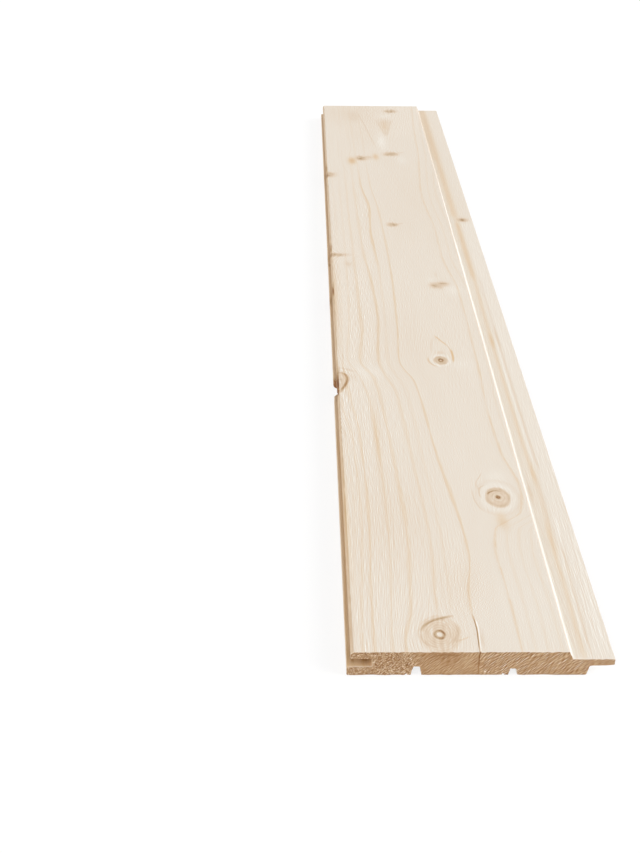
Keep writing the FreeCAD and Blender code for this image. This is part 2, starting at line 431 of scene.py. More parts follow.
def planed_wood():
    """The planed and moulded long sides."""
    material = bpy.data.materials.new("planed_spruce")
    shader = Shader(material)
    point = place_mm(shader)
    _, y, z = shader.parts(point)
    growth, honey = growth_stain(shader)
    marks, mark_honey = stroke_stain_and_painted_light(shader)
    fibre, knots = fibre_stain(shader, point), knot_stain(shader, point)
    stain = shader.total(FACE_TONE, growth, fibre, knots, shader.attribute("patches"), marks)
    honey = shader.math("ADD", shader.total(honey, mark_honey), shader.attribute("honey"), clamp=True)
    pores = shader.noise(shader.stretched(shader.attribute("flow"), y, *PORES, z), 2.0, 0.6)
    height = shader.total(pores, shader.times(growth, 3.0))
    roughness = shader.span(stain, 0.05, 0.6, 0.62, 0.50)
    finish_wood(shader, wood_colour(shader, stain, honey), height, roughness, FACE_BUMP)
    return material


def stroke_stain_and_painted_light(shader):
    """The stain and the yellow of the nearest listed stroke."""
    # Some strokes are painted shade and highlight at the split
    across, amount, yellow = shader.parts(shader.attribute("stroke", "Vector"))
    line = shader.span(shader.math("ABSOLUTE", across), 0.1, 1.0, 1.0, 0.0)
    return shader.times(line, amount), shader.times(line, yellow)


def sawn_texture(shader, point, x):
    """The saw's slanting marks, and the loose fibres and the spots of the torn part at the left."""
    slant = math.radians(SAW_SLANT_DEG)
    along = shader.vector("DOT_PRODUCT", point, (math.cos(slant), 0, math.sin(slant)))
    across = shader.vector("DOT_PRODUCT", point, (-math.sin(slant), 0, math.cos(slant)))
    *marked, mark = SAW_MARKS
    *darkened, dark = DARK_SPOTS
    fibre_scale, fibre = END_FIBRES
    light_scale, light = LIGHT_SPOTS
    marks = shader.fine_noise(shader.stretched(across, along, *marked), mark)
    fibres = shader.about_middle(shader.noise(shader.scaled(point, fibre_scale), 0.0), fibre)
    darks = shader.noise(shader.stretched(across, along, *darkened), 0.0)
    lights = shader.noise(shader.scaled(point, light_scale), 0.0)
    darks = shader.span(darks, 0.26, 0.40, dark, 0.0)
    spots = shader.total(darks, shader.span(lights, 0.62, 0.76, 0.0, light))
    marks = shader.times(marks, shader.span(x, *TORN_END, 0.45, 1.0))
    fibres = shader.times(fibres, shader.span(x, *TORN_END, 1.0, 0.25))
    spots = shader.times(spots, shader.span(x, *TORN_END, 1.0, 0.0))
    smooth = shader.times(shader.span(x, *SMOOTH_START), shader.span(x, *SMOOTH_END, 1.0, 0.0))
    return shader.times(shader.total(marks, fibres, spots), shader.span(smooth, 0.0, 1.0, 1.0, SMOOTH_SHARE))


def sawn_wood():
    """The cross-cut ends: end grain with its texture, torn in chunks at the left and frayed at its foot."""
    material = bpy.data.materials.new("sawn_end_grain")
    shader = Shader(material)
    point = place_mm(shader)
    x, _, z = shader.parts(point)
    texture = sawn_texture(shader, point, x)
    chunk_scale, chunk = CHUNKS
    cloud_scale, cloud = END_CLOUDS
    chunks = shader.noise(shader.scaled(point, chunk_scale), 2.0, 0.6)
    chunks = shader.span(chunks, 0.38, 0.62, -chunk, chunk)
    chunks = shader.times(chunks, shader.span(x, *TORN_END, 1.0, 0.15))
    clouds = shader.about_middle(shader.noise(shader.scaled(point, cloud_scale), 2.0, 0.5), cloud)
    frayed = shader.span(shader.noise(shader.scaled(point, 0.9)), 0.45, 0.6, 0.0, 0.25)
    foot = shader.times(shader.span(z, 0.0, 0.9, 1.0, 0.0), frayed)
    from_speck = shader.vector("LENGTH", shader.vector("SUBTRACT", point, END_SPECK))
    speck = shader.span(from_speck, 0.25, 0.6, -0.6, 0.0)
    marks, mark_honey = stroke_stain_and_painted_light(shader)
    stain = shader.total(END_TONE, texture, chunks, clouds, foot, speck, shader.attribute("patches"), marks)
    colour = wood_colour(shader, stain, shader.total(mark_honey, END_HONEY))
    finish_wood(shader, colour, shader.total(texture, chunks), 0.85, END_BUMP)
    return material


# The growth field on the face


def hermite(places, values, slopes, at):
    """Values at any places from values and slopes at the given ones, straight beyond the ends."""
    places, values, slopes = (np.asarray(v, float) for v in (places, values, slopes))
    i = np.clip(np.searchsorted(places, at, side="right") - 1, 0, len(places) - 2)
    step = places[i + 1] - places[i]
    t = np.clip((at - places[i]) / step, 0, 1)
    inside = ((2 * t**3 - 3 * t**2 + 1) * values[i] + (t**3 - 2 * t**2 + t) * step * slopes[i]
              + (3 * t**2 - 2 * t**3) * values[i + 1] + (t**3 - t**2) * step * slopes[i + 1])
    below = slopes[0] * np.minimum(at - places[0], 0)
    above = slopes[-1] * np.maximum(at - places[-1], 0)
    return inside + below + above


def even_slopes(places, values):
    """Slopes that let a curve through the places never turn back between them."""
    secants = np.diff(values) / np.diff(places)
    slopes = np.zeros(len(places))
    before, after = secants[:-1], secants[1:]
    same_way = before * after > 0
    both = np.where(same_way, before + after, 1.0)
    slopes[1:-1] = np.where(same_way, 2 * before * after / both, 0.0)
    slopes[0], slopes[-1] = secants[0], secants[-1]
    return slopes


def line_places(y):
    """Where each growth line crosses the face at y, for an array of y."""
    rows = []
    for *_, points in GROWTH_LINES:
        along, across = np.array(sorted((py, px) for px, py in points), float).T
        slopes = even_slopes(along, across)
        slopes[0] = slopes[-1] = 0.0
        rows.append(hermite(along, across, slopes, y))
    return np.array(rows)


def soft_step(value, reach):
    """From 0 well below zero to 1 well above it."""
    return 1 / (1 + math.exp(np.clip(-value / reach, -30, 30)))


def growth_field(face_x, y):
    """Ring number, millimetres between rings, line strength and line width at each face place of one row."""
    crossings = line_places(np.array([y]))[:, 0]
    crossings = np.concatenate(([crossings[0] - EDGE_GAP], crossings, [crossings[-1] + TONGUE_GAP]))
    numbers = np.arange(len(crossings)) - 1.0
    slopes = even_slopes(crossings, numbers)
    ring = hermite(crossings, numbers, slopes, face_x)
    gap = np.interp(face_x, crossings, 1 / slopes)
    near = soft_step(BEND_Y - y, BEND_REACH)
    far = soft_step(y - HALFWAY_Y, HALFWAY_REACH)
    lines = np.array([line[:4] for line in GROWTH_LINES])
    strengths = lines[:, :3] @ (far, 1 - far - near, near)
    fade_start, fade_end, fade = FAR_FADE
    strengths[:FADING_LINES] *= 1 - fade * np.clip((y - fade_start) / (fade_end - fade_start), 0, 1)
    for line, end_y in LINE_ENDS.items():
        strengths[line] *= np.clip((y - end_y) / LINE_END_REACH + 0.5, 0, 1)
    left, right = EDGE_LINE_STRENGTHS
    strength = np.interp(ring, numbers[1:-1], strengths, left=left, right=right)
    return ring, gap, strength, np.interp(ring, numbers[1:-1], lines[:, 3])


def grain_flow(face_x, y):
    """Across the grain in millimetres: where the fibre through each face place of one row crosses FLOW_Y."""
    here, there = line_places(np.array([y, FLOW_Y])).T
    shift = here - there
    here = np.concatenate(([shift[0] - FLOW_SIDE], here, [shift[-1] + FLOW_SIDE]))
    return np.interp(face_x, here, np.concatenate(([-FLOW_SIDE], there, [FLOW_SIDE])))


def face_place(x, z):
    """The place on the face where the growth ring through (x, z) comes out, near enough."""
    tilt = np.where(x < HEART_X - 40, (HEART_DEPTH + FACE_Z) / np.maximum(HEART_X - x, 1), 3.0)
    return x + (FACE_Z - z) * np.minimum(tilt, 3.0)


# How far a knot pushes the fine grain aside, and over how many of its radii across and along
PUSH = 0.75
PUSH_ACROSS = 2.2
PUSH_ALONG = 2.6


def pushed_aside(x, y):
    """Places moved so that the fine grain bends round the knots."""
    for knot_x, knot_y, across, along, _, _ in KNOTS:
        reach = (knot_x, knot_y, across * PUSH_ACROSS, along * PUSH_ALONG, 1.0)
        x = x - (x - knot_x) * PUSH * patch_field([reach], x, y)
    return x


# Soft patches on the face: place, radii, stain
PATCHES = (
    (-56.5, -50, 2.2, 62, 0.07),
    (-38, -305, 22, 42, 0.03),
    (-10, -120, 24, 55, 0.018),
    (12, 150, 28, 120, 0.018),
    (-25, 375, 34, 38, 0.045),
    (-18, 310, 14, 40, 0.02),
    (25, -375, 22, 35, -0.018),
    (-37, -227, 1.4, 30, 0.04),
    (-45.5, 9, 2.5, 4, 0.1),
    (-39, -152, 9, 10, -0.03),
    (-48.5, -158, 3.2, 4.5, 0.04),
    (25, -266, 5, 6, -0.03),
    (28.5, -35, 6, 9, -0.035),
    (2, 346, 6, 8, 0.09),
    (1.6, 331, 3.6, 9, 0.09),
    (1.2, 315, 1.8, 8, 0.07),
    (-4.2, 287, 4, 20, -0.06),
    (2.7, 366, 6, 5, -0.05),
    (11.5, 237, 4.5, 12, -0.035),
    (-28, 364, 5, 14, 0.05),
    (-34.2, 234, 3, 7, 0.17),
    (-18, 243, 3, 4, 0.12),
    (-12, 245, 2.4, 7, 0.1),
    (15.6, -27.4, 3, 3.4, 0.31),
    (21.8, -24.6, 3.6, 2.8, 0.29),
    (19.6, -30, 1.6, 2.8, 0.14),
    (13.2, -18, 2.5, 4, -0.03),
    (18.2, -9, 1.1, 4, 0.05),
    (9.5, -127, 2.4, 1.8, 0.08),
    (18.5, -142, 10, 6, -0.02),
    (23, -306, 2.8, 6, 0.07),
    (1, -392, 1, 6, 0.07),
    (-1.5, -354, 9, 16, 0.025),
)
HONEY_PATCHES = (
    (-37, -227, 1.4, 30, 0.25),
    (23, -304, 2.8, 6, 0.3),
    (-34.2, 234, 3.4, 8, 0.7),
    (-12, 245, 2.4, 7, 0.5),
    (1.5, 335, 4, 16, 0.2),
    (-57, -300, 1.2, 60, 0.4),
)
SHELF_PATCHES = (
    (43.3, -275, 1.2, 9, 0.07),
    (52, 106, 3.6, 3, 0.4),
    (51.6, 106, 1.6, 2.2, 0.25),
)

# Bands of colour along the shelf beside the tongue, one a painted highlight: half width, stain, how yellow,
# points
SHELF_BANDS_AND_HIGHLIGHT = (
    (8, -0.022, 0, ((55, -400), (55, 105))),
    # Painted highlight: the bevel's lit stripe carried onto the shelf's edge
    (0.45, -0.12, 0, ((41.3, -400), (41.3, 60))),
    (2.6, 0, 0.06, ((43.2, -400), (43.6, 0))),
    (1.3, 0.05, 0.26, ((46.7, -95), (46.8, -200), (47.2, -235), (47.9, -264))),
    (1.9, 0.03, 0.12, ((47.8, -250), (47.8, -325))),
    (1.2, 0.04, 0.26, ((47, -303), (46.7, -325), (46.9, -350), (46.5, -375), (46.2, -400))),
    (0.9, -0.04, 0, ((49.3, -100), (49.1, -190), (49.4, -240))),
    (0.8, 0.075, 0.05, ((50.9, -85), (51, -160), (51.1, -220), (51.6, -252))),
    (1, 0.04, 0, ((49, -262), (48.9, -280), (48.5, -305))),
    (0.45, -0.06, 0, ((52.9, -297), (51.3, -315), (49.9, -330), (49.2, -355), (48.2, -388))),
    (0.8, 0.07, 0.05, ((51.3, -318), (50.6, -345), (49.9, -392))),
    (0.45, -0.05, 0, ((59.2, -310), (57.6, -342), (57.1, -365), (56.8, -392))),
    (1.5, 0.05, 0.24, ((47.4, -5), (46.8, -60), (46.7, -110))),
    (0.8, 0.045, 0, ((51.2, -5), (50.9, -110))),
    (2.2, 0.085, 0.36, ((46.9, 102), (46.8, 60), (47, -5))),
    (3, 0.075, 0.28, ((45.2, 400), (45.7, 260), (46.3, 110))),
    (2.2, 0.02, 0.1, ((42, 400), (42.5, 250))),
)
BAND_TAPER = 12.0
PATCH_DEPTH = 6.0
SHELF_FLOW = 20.0
END_PATCHES = (
    (-46, 7, 15, 12, 0.03),
    (-18, 12, 8, 3.5, 0.1),
    (-4, 8, 5, 6, -0.04),
    (30, 7, 20, 7, -0.02),
    (2.3, 2, 0.5, 0.5, -0.35),
)

# How busy the fine texture is: everywhere, and more in soft patches on the face and on the shelf
CALM_TEXTURE = 1.0
BUSY_PATCHES = (
    (-45, -340, 22, 90, 0.6),
    (-42, -392, 18, 22, 0.5),
    (-45, -230, 22, 70, 0.6),
    (-50, -60, 20, 150, 1.6),
    (0, 370, 60, 60, 0.8),
    (22, -330, 26, 100, -0.5),
    (55, -350, 14, 90, 0.5),
)
FEW_SPECKS = 0.8
SPECK_PATCHES = (
    (-2, -352, 12, 26, 2),
    (0, -100, 90, 160, 0.7),
    (0, 370, 60, 60, 3.5),
)

# Strokes on the face, and on the near end with z in place of y: half width, stain, how yellow, points
STAIN_SHADE_AND_HIGHLIGHT_STROKES = (
    # Painted warm shade inside the split
    (0.3, 0.55, 0.6, SPLIT_PATH),
    # Painted highlight along the split's right lip
    (0.5, -0.2, 0, ((-0.9, -377), (-0.1, -381), (0, -385.2), (-0.2, -391.1), (-0.6, -401))),
    (1.2, 0.36, 0, ((-26.5, -387.2), (-24.6, -383.3), (-20.6, -379.8), (-15.6, -377.8), (-9.7, -376.1))),
    (0.5, -0.1, 0, ((-15.2, -382), (-15, -380.2))),
    (1.4, 0.12, 0, ((-10.2, -380.2), (-9, -385.2), (-10.1, -390.1), (-13.6, -395.1))),
    (0.9, 0.1, 0, ((-26.5, -388.2), (-25.5, -393.2), (-21.5, -396.6), (-17.6, -396.6))),
    (0.7, 0.06, 0.2, ((-10.5, -393.4), (-7.1, -391.6), (-3.9, -389.8))),
    (0.8, 0.36, 0, ((18.3, -282), (20.5, -279.3), (23.5, -278.4), (26.5, -279.6))),
    (0.7, 0.12, 0, ((15, -286.1), (14.2, -280.2), (16, -274.7), (19, -272.7))),
    (0.5, 0.1, 0, ((13, -277.2), (14, -270.3), (17, -264.3), (18.5, -260.8))),
    (0.6, 0.08, 0, ((11, -275.2), (10.9, -286.1), (13.1, -294), (15.6, -298))),
    (0.9, 0.1, 0.6, ((7.6, -103), (9.6, -107.2), (12, -112.2), (15.2, -117.8))),
    (0.7, 0.1, 0, ((13.2, -114.6), (15.6, -119.6), (16.4, -124.6))),
    (1.1, 0.15, 0.8, ((16.2, -121), (16.9, -126.5), (16.9, -132.5), (16.4, -140))),
    (1.2, 0.04, 0, ((8.4, -105), (5.4, -110.5), (4.3, -117.5), (3.8, -127))),
    (0.8, 0.12, 0.4, ((0.7, -132.5), (0.8, -137.6), (2.2, -141.8), (6.8, -145.8))),
    (0.6, 0.05, 0, ((6, -145.6), (12.5, -144.8), (16.4, -139.5))),
    (1.5, 0.46, 0.2, ((-58.5, -153), (-54.3, -153.6), (-52.3, -157.6), (-51.9, -162.5), (-53.2, -167.6),
        (-55, -172.5), (-57.2, -178.5))),
    (0.5, 0.25, 0, ((-58.5, -161), (-57, -161.2), (-55.2, -162.2))),
    (2, 0.07, 0, ((-58.5, -146.5), (-52, -148.8), (-45.8, -152.4))),
    (1, 0.24, 0, ((13.4, -26.4), (15.4, -28.4), (18, -29.2))),
    (0.9, 0.2, 0, ((18.4, -24.4), (20.6, -23.6), (25.6, -24.4))),
    (0.9, 0.16, 0, ((-30.5, 236.8), (-25.6, 240.6), (-18, 246.8))),
    (0.8, 0.16, 0, ((-4.1, 251.4), (2.9, 253), (8.9, 255), (16.9, 259.6))),
    (0.9, 0.16, 0, ((3.7, 380.4), (9.7, 383.3), (16.7, 385))),
    (1, 0.1, 0, ((-8.5, 82.6), (-3.5, 85.6), (2.5, 88.6))),
    (1.2, 0.05, 0, ((-7.3, 357.2), (-3.3, 335.2), (1, 300.1))),
    (1.4, 0.06, 0, ((9.9, 357.3), (6.4, 335.2), (1.6, 300.1))),
    (1, 0.06, 0, ((-24, 378), (-20, 352), (-15, 310), (-9.5, 262))),
)
END_STAIN_AND_SPLIT_SHADE_STROKES = (
    # Painted shade of the split where it runs down the near end
    (0.38, 0.48, 0.3, ((-1.4, 17), (-0.9, 12), (-1.3, 10), (-0.8, 8), (-1.2, 5))),
    (0.45, 0.2, 0.3, ((-1.1, 8), (-1.2, 5.5), (-0.7, 3), (-1, -1))),
    (0.3, 0.2, 0, ((-24, 10), (-21, 11.5), (-15, 12.3), (-11, 11.4))),
)
STROKE_FADE = 1.2
STROKE_STEP = 2.0
STROKE_TAPER = 0.22
STROKE_LOW_Z = 9.0
FAR_OFF = 50.0

# Stain of the moulded left edge, browner than the face: its own tone plus painted warm shade; and the bevel's
# painted highlight
LOWER_LIP_STAIN = 0.11
# The upper lip and the chamfer are darker partly as painted shade on this shaded side
UPPER_LIP_STAIN_AND_SHADE = 0.30
CHAMFER_STAIN_AND_SHADE = 0.16
# Painted warm shade: how much the shaded left side is yellowed
LIP_WARM_SHADE = 0.24
SPOT_HONEY = 0.7
GROOVE_STAIN = 0.13
# Painted warm shade inside the groove, where the lamps hardly reach
GROOVE_WARM_SHADE = 0.55
GROOVE_SPOT_SHARE = 0.4
GROOVE_MOUTH_STAIN = 0.16
GROOVE_MOUTH_Y = -397.6
GROOVE_MOUTH_FADE = 0.8
# Painted shade on the groove's floor just behind the mouth: place, radii, stain
GROOVE_SHADE_PATCHES = (
    (-57.2, -395, 0.8, 2.5, 0.3),
    (-51.5, -394, 1.6, 2.5, 0.4),
    (-53.5, -392, 7, 6, 0.25),
)
# The yellow patch on the face along the lip: all of it but its X
FACE_HONEY = (-45.0, 2.0, 75.0, 0.36)
# Painted highlight on the bevel that faces the lamp: paler towards its foot, starting further down it near
# the near end, gone far off
BEVEL_HIGHLIGHT = -0.24
BEVEL_RISE = 2.0
BEVEL_LAG = 0.9
BEVEL_LAG_END_Y = -20.0
BEVEL_LAG_FADE = 100.0
BEVEL_END_Y = 280.0
BEVEL_FADE = 200.0
EDGE_SPOTS = (
    # y, half length, stain, from z, to z: dark places where knots come out of the board's side
    (-167, 8, 0.60, 9.0, 14.0),
    (-153, 8, 0.20, 9.0, 14.0),
    (-150, 5, 0.80, -1.0, 9.0),
    (-35, 8, 0.45, -1.0, 14.0),
    (38, 7, 0.38, -1.0, 14.0),
    (215, 9, 0.32, -1.0, 14.0),
)
GROOVE_LOW_Z = 5.1
GROOVE_HIGH_Z = 9.9
GROOVE_BOTTOM_X = -48.6
CHAMFER_Z = 12.8
SIDE_MARGIN = 0.15


def smooth_line(points):
    """A smooth curve through a stroke's points, as closely spaced places."""
    points = np.array(points, float)
    lengths = np.concatenate(([0], np.cumsum(np.hypot(*np.diff(points, axis=0).T))))
    at = np.linspace(0, lengths[-1], max(3, int(lengths[-1] / STROKE_STEP) + 1))
    slopes = [np.gradient(points[:, i], lengths) for i in (0, 1)]
    return np.column_stack([hermite(lengths, points[:, i], slopes[i], at) for i in (0, 1)])


def stroke_field(strokes, u, v):
    """For each place: the signed distance to the nearest stroke in half widths, its stain and its yellow."""
    best = np.full(u.shape, FAR_OFF)
    found = np.array((best, np.zeros(u.shape), np.zeros(u.shape)))
    for half_width, stain, honey, points in strokes:
        points = smooth_line(points)
        count = len(points) - 1
        for i, (start, end) in enumerate(zip(points[:-1], points[1:])):
            way = end - start
            from_u, from_v = u - start[0], v - start[1]
            held = np.clip((from_u * way[0] + from_v * way[1]) / math.hypot(*way) ** 2, 0, 1)
            distance = np.hypot(from_u - held * way[0], from_v - held * way[1])
            side = np.where(way[0] * from_v - way[1] * from_u < 0, -1.0, 1.0)
            along = (i + held) / count
            fade = np.clip(np.minimum(along, 1 - along) / STROKE_TAPER, 0, 1)
            fade = fade * np.clip(1 - (distance - half_width) / STROKE_FADE, 0, 1)
            nearer = distance / half_width < best
            best = np.where(nearer, distance / half_width, best)
            found = np.where(nearer, (side * best, stain * fade, honey * fade), found)
    return found


def band_field(bands, u, v):
    """The sums of soft bands' stains and yellows. The bands run along v."""
    stain, honey = np.zeros(u.shape), np.zeros(u.shape)
    for half_width, amount, yellow, points in bands:
        along = np.array(sorted((pv, pu) for pu, pv in points), float)
        middle = np.interp(v, along[:, 0], along[:, 1])
        inside = np.minimum(v - along[0, 0], along[-1, 0] - v)
        fade = np.clip(inside / BAND_TAPER + 0.5, 0, 1)
        share = np.exp(-(((u - middle) / half_width) ** 2)) * fade
        stain += amount * share
        honey += yellow * share
    return stain, honey


def inside_groove(x, z):
    """Whether places are on the groove's floor, bottom or ceiling."""
    return (x < GROOVE_BOTTOM_X) & (z > GROOVE_LOW_Z - 0.02) & (z < GROOVE_HIGH_Z + 0.02)


def edge_spots(y, z):
    """The sum of the dark places along the groove's side."""
    spots = np.zeros(y.shape)
    for spot_y, half_length, amount, low, high in EDGE_SPOTS:
        spots += amount * np.exp(-(((y - spot_y) / half_length) ** 2)) * ((z > low) & (z < high))
    return spots


def edge_stain_shade_and_highlight(x, y, z):
    """The stain of the groove's side, with its dark spots and its painted shade, and the bevel's painted
    highlight.
    """
    on_lips = x < FACE_LEFT - SIDE_MARGIN
    on_bevel = (x > FACE_RIGHT + SIDE_MARGIN) & (z > SHELF_Z + 0.4)
    spots = edge_spots(y, z)
    near_mouth = np.clip((GROOVE_MOUTH_Y - y) / GROOVE_MOUTH_FADE, 0, 1) * (z < GROOVE_LOW_Z + 0.02)
    groove = GROOVE_STAIN + GROOVE_SPOT_SHARE * spots + (GROOVE_MOUTH_STAIN - GROOVE_STAIN) * near_mouth
    # Painted shade on the groove's floor behind the mouth
    groove += patch_field(GROOVE_SHADE_PATCHES, x, y)
    # Painted highlight on the bevel
    lag = BEVEL_LAG * np.clip((BEVEL_LAG_END_Y - y) / BEVEL_LAG_FADE, 0, 1)
    rise = np.clip((x - FACE_RIGHT - lag) / (BEVEL_RISE - lag), 0, 1)
    bevel = BEVEL_HIGHLIGHT * rise * np.clip((BEVEL_END_Y - y) / BEVEL_FADE, 0, 1)
    # The lips' stains are partly painted shade on the shaded left side
    lips = np.where(z < GROOVE_HIGH_Z - 1, LOWER_LIP_STAIN, UPPER_LIP_STAIN_AND_SHADE)
    lips = np.where(z > CHAMFER_Z, CHAMFER_STAIN_AND_SHADE, lips)
    return np.select([inside_groove(x, z), on_lips, on_bevel], [groove, lips + spots, bevel])


def edge_honey_and_warm_shade(x, y, z):
    """How yellow the groove's side is, its painted warm shade included, and the face beside it."""
    beside = patch_field([(FACE_LEFT, *FACE_HONEY)], x, y) * (z > FACE_Z - 0.05)
    # Painted warm shade on the shaded left side
    honey = np.where(x < FACE_LEFT - SIDE_MARGIN, LIP_WARM_SHADE + SPOT_HONEY * edge_spots(y, z), beside)
    # Painted warm shade inside the groove
    return np.where(inside_groove(x, z), GROOVE_WARM_SHADE, honey)


def patch_field(patches, u, v):
    """The sum of soft round patches."""
    stain = np.zeros(u.shape)
    for patch_u, patch_v, across, along, amount in patches:
        stain += amount * np.exp(-(((u - patch_u) / across) ** 2) - ((v - patch_v) / along) ** 2)
    return stain


# The board's mesh


def end_outline(node):
    """The section's corners in order, anticlockwise with X right and Z up, from the CAD mesh's near end."""
    mesh = node.data
    places = [tuple(round(c / MM, 3) for c in v.co) for v in mesh.vertices]
    low = min(y for x, y, z in places)
    edges = set()
    for polygon in mesh.polygons:
        corners = [places[i] for i in polygon.vertices]
        if all(y < low + 0.01 for x, y, z in corners):
            edges.update(zip(corners, corners[1:] + corners[:1]))
    follows = {start: end for start, end in edges if (end, start) not in edges}
    outline = [min(follows)]
    while follows[outline[-1]] != outline[0]:
        outline.append(follows[outline[-1]])
    return np.array([(x, z) for x, y, z in outline])


def thinned(points, tolerance):
    """The open line with only the points that keep it within the tolerance."""
    if len(points) < 3:
        return list(map(tuple, points))
    start, end = points[0], points[-1]
    way = end - start
    length = max(math.hypot(*way), 1e-9)
    off = np.abs(way[0] * (points[:, 1] - start[1]) - way[1] * (points[:, 0] - start[0])) / length
    far = int(np.argmax(off))
    if off[far] < tolerance:
        return [tuple(start), tuple(end)]
    return thinned(points[: far + 1], tolerance)[:-1] + thinned(points[far:], tolerance)


TORN_DEPTH = 0.30
TORN_LENGTH = 0.20
SAW_DEPTH = 0.12
FAR_END_DEPTH = 0.05
NEAR_CAP_STEP = 0.7
FAR_CAP_STEP = 2.0
NICKS = (
    # x, half width, height: small chips out of the foot of the near end
    (10.4, 0.6, 1.2),
    (-33.2, 0.6, 0.7),
)
ARC_TOLERANCE = 0.012
SPLIT_ROOM = 2.3
SPLIT_OFFSETS = (-1.4, -0.8, -0.3, 0.0, 0.3, 0.7, 1.1)


def column_step(x, z):
    """The widest that a column of the mesh may be at a place of the section."""
    if z > FACE_Z - 0.05:
        return 1.0
    if x > FACE_RIGHT and z > SHELF_Z - 0.05:
        return 0.6
    if z < 0.05:
        return 3.0
    if x < GROOVE_BOTTOM_X and abs(z - GROOVE_LOW_Z) < 0.05:
        return 1.2
    return 4.0


def section_columns():
    """The section as mesh columns: arcs kept, long flats divided, and three columns for the split."""
    outline = np.roll(SECTION, -int(np.argmin(SECTION[:, 0])), axis=0)
    right = int(np.argmax(outline[:, 0]))
    halves = thinned(outline[: right + 1], ARC_TOLERANCE)[:-1]
    back = np.vstack((outline[right:], outline[:1]))
    corners = halves + thinned(back, ARC_TOLERANCE)[:-1]
    columns = []
    split_x = SPLIT_PATH[0][0]
    for (x0, z0), (x1, z1) in zip(corners, corners[1:] + corners[:1]):
        columns.append((x0, z0))
        length = math.hypot(x1 - x0, z1 - z0)
        count = math.ceil(length / column_step((x0 + x1) / 2, (z0 + z1) / 2))
        for k in range(1, count):
            x, z = x0 + (x1 - x0) * k / count, z0 + (z1 - z0) * k / count
            on_face = z > FACE_Z - 0.01
            if on_face and abs(x - split_x) < SPLIT_ROOM:
                continue
            if z < 0.01 and any(abs(x - nick_x) < half_width + 0.2 for nick_x, half_width, _ in NICKS):
                continue
            columns.append((x, z))
    for nick_x, half_width, _ in NICKS:
        after = next(i for i, (x, z) in enumerate(columns) if z < 0.01 and x > nick_x)
        for offset in (half_width, 0.0, -half_width):
            columns.insert(after, (nick_x + offset, 0.0))
    after = next(i for i, (x, z) in enumerate(columns) if z > FACE_Z - 0.01 and x < split_x)
    for offset in SPLIT_OFFSETS:
        columns.insert(after, (split_x + offset, FACE_Z))
    return np.array(columns)


ROW_STEPS = (
    (-400, -371, 1.1),
    (-371, -312, 1.7),
    (-312, -256, 1.2),
    (-256, -180, 2.6),
    (-180, -150, 1.0),
    (-150, -96, 1.4),
    (-96, 0, 3.0),
    (0, 400, 4.6),
)


def row_places():
    """Y of each row of the mesh, closer together where there is more to show."""
    rows = []
    for start, end, step in ROW_STEPS:
        count = math.ceil((end - start) / step)
        rows += [start + (end - start) * i / count for i in range(count)]
    return np.array(rows + [ROW_STEPS[-1][1]], float)


SECTION = end_outline(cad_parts[NODE])
FACE_Z = SECTION[:, 1].max()
face_corners = SECTION[SECTION[:, 1] > FACE_Z - 0.01]
FACE_LEFT, FACE_RIGHT = face_corners[:, 0].min(), face_corners[:, 0].max()
SHELF_Z = SECTION[SECTION[:, 0] > FACE_RIGHT + 4, 1].max()


def cut_split(places, y):
    """Opens the split in one row of the mesh."""
    path_x, path_y = np.array(SPLIT_PATH).T
    if y > path_y[0]:
        return
    middle = np.interp(y, path_y[::-1], path_x[::-1])
    share = (path_y[0] - y) / (path_y[0] - path_y[-1])
    half = SPLIT_WIDTH / 2 * min(1.0, 0.25 + 1.6 * share)
    columns_x = places[:, 0].copy()
    on_face = places[:, 2] > FACE_Z - 0.01
    moves = {-0.3: -half, 0.3: half}
    for offset in SPLIT_OFFSETS:
        index = np.where(on_face & (np.abs(columns_x - SPLIT_PATH[0][0] - offset) < 1e-3))[0][0]
        places[index, 0] = middle + moves.get(offset, offset)
        if offset == 0.0:
            places[index, 2] = FACE_Z - SPLIT_DEPTH * min(1.0, 0.15 + 1.3 * share)


def break_lips(places, y):
    """Breaks the splinters out of the groove's lips in one row of the mesh."""
    x, z = places[:, 0], places[:, 2]
    edge = x.min()
    for start, end, depth, low, high in LIP_CHIPS:
        if start < y < end:
            share = (y - start) / (end - start)
            ragged = noise.noise(Vector((y * 0.9, depth, 0.0))) * CHIP_RAGGEDNESS
            reach = depth * min(1.0, CHIP_STEEPNESS * min(share, 1 - share)) + ragged
            limit = edge + max(reach, 0)
            beyond = (z > low) & (z < high) & (x < limit)
            places[beyond, 0] = limit - (limit - x[beyond]) * CHIP_LEAN


def swept_rows(columns):
    """The places of every row of the mesh, as an array of rows by columns by three."""
    rows = []
    for y in row_places():
        places = np.column_stack((columns[:, 0], np.full(len(columns), y), columns[:, 1]))
        cut_split(places, y)
        break_lips(places, y)
        rows.append(places)
    return np.array(rows)


def tear_end(ring, random):
    """Frays the outline of the near end and breaks the nicks out of its foot."""
    outline = ring[:, [0, 2]]
    way = np.roll(outline, -1, axis=0) - np.roll(outline, 1, axis=0)
    inward = np.column_stack((-way[:, 1], way[:, 0])) / np.maximum(np.hypot(*way.T), 1e-6)[:, None]
    depth = TORN_DEPTH * random.uniform(0, 1, len(ring)) ** 1.5
    ring[:, 0] += inward[:, 0] * depth
    ring[:, 2] += inward[:, 1] * depth
    ring[:, 1] += random.uniform(0, TORN_LENGTH, len(ring))
    at_foot = ring[:, 2] < TORN_DEPTH
    for x, half_width, height in NICKS:
        share = np.clip(1 - np.abs(ring[:, 0] - x) / half_width, 0, 1)
        ring[:, 2] += np.where(at_foot, height * share, 0.0)


